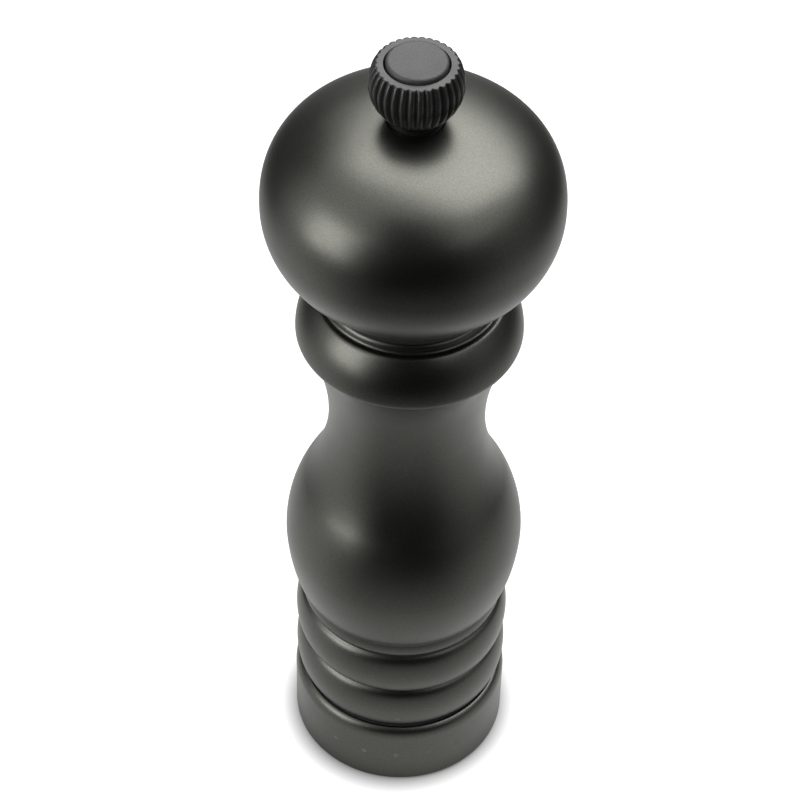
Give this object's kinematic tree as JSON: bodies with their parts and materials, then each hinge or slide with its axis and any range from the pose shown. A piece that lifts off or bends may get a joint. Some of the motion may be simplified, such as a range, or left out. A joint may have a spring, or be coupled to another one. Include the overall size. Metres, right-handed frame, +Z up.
{
  "type": "pepper mill",
  "caption": "Hand pepper mill: ball head turns a square shaft and conical burr, ribbed knob screws down, base ring clicks between grinds.",
  "frame": {"origin": "centre of the circle on which the base ring stands on the table", "axes": "+Z up along the mill's axis, -Y towards the index mark at the front, +X to its right"},
  "size_m": [0.0676, 0.0674, 0.2193],
  "materials": {
    "coated_steel": "satin graphite metallic coating on sheet steel",
    "mark_paint": "matt grey pad print",
    "hopper_plastic": "moulded, smooth",
    "core_plastic": "moulded, fine grain",
    "nylon": "black nylon, moulded",
    "housing_plastic": "glass-filled nylon, moulded",
    "stamped_steel": "stamped, zinc plated",
    "screw_steel": "zinc plated",
    "burr_steel": "machined and hardened",
    "spring_steel": "drawn wire and strip",
    "shaft_aluminium": "drawn bar",
    "brass": "turned",
    "knob_plastic": "moulded, fine grain",
    "cap_plastic": "moulded, spark-eroded grain"
  },
  "bodies": {
    "casing": {"body_shell": "coated_steel", "hopper_liner": "hopper_plastic", "mouth_sleeve": "core_plastic", "slide_ring": "nylon", "mechanism_housing": "housing_plastic", "bridge": "stamped_steel", "housing_screws": "screw_steel", "outer_burr": "burr_steel", "burr_retainer": "stamped_steel", "retainer_screws": "screw_steel", "snap_ring": "stamped_steel", "click_spring": "spring_steel", "index_pip": "mark_paint"},
    "grind_ring": {"adjust_ring": "coated_steel", "cam_ring": "housing_plastic", "grind_marks": "mark_paint"},
    "burr_carriage": {"carriage": "housing_plastic", "thrust_pad": "brass"},
    "rotor": {"inner_burr": "burr_steel", "spring_washer": "stamped_steel", "burr_spring": "spring_steel"},
    "spindle": {"shaft": "shaft_aluminium", "drive_bush": "brass", "shaft_clips": "stamped_steel"},
    "head": {"head_shell": "coated_steel", "head_core": "core_plastic", "drive_plate": "stamped_steel", "drive_plate_screws": "screw_steel", "crown_seat": "nylon"},
    "washer": {"knob_washer": "nylon"},
    "knob": {"knob": "knob_plastic", "knob_insert": "brass", "knob_cap": "cap_plastic"}
  },
  "joints": [
    {"name": "head_turn", "type": "hinge", "parent": "casing", "child": "spindle", "pos_m": [0, 0, 0.033], "axis": [0, 0, 1], "continuous": true},
    {"name": "head_lift", "type": "slide", "parent": "spindle", "child": "head", "axis": [0, 0, 1], "range_m": [0, 0.07]},
    {"name": "knob_rise", "type": "slide", "parent": "head", "child": "washer", "axis": [0, 0, 1], "range_m": [0, 0.00801]},
    {"name": "knob_turn", "type": "hinge", "parent": "washer", "child": "knob", "pos_m": [0, 0, 0.21], "axis": [0, 0, 1], "range_deg": [0, 2880]},
    {"name": "adjust_turn", "type": "hinge", "parent": "casing", "child": "grind_ring", "pos_m": [0, 0, 0.0102], "axis": [0, 0, 1], "range_deg": [-36, 54]},
    {"name": "carriage_lift", "type": "slide", "parent": "casing", "child": "burr_carriage", "axis": [0, 0, 1], "range_m": [-0.00048, 0.00072]},
    {"name": "burr_lift", "type": "slide", "parent": "spindle", "child": "rotor", "axis": [0, 0, 1], "range_m": [-0.00048, 0.00072], "deforming": ["burr_spring"]}
  ],
  "couplings": [
    {"joint": "knob_rise", "follows": "knob_turn", "m_per_rad": 0.00015915},
    {"joint": "carriage_lift", "follows": "adjust_turn", "m_per_rad": 0.00076394},
    {"joint": "burr_lift", "follows": "adjust_turn", "m_per_rad": 0.00076394}
  ]
}
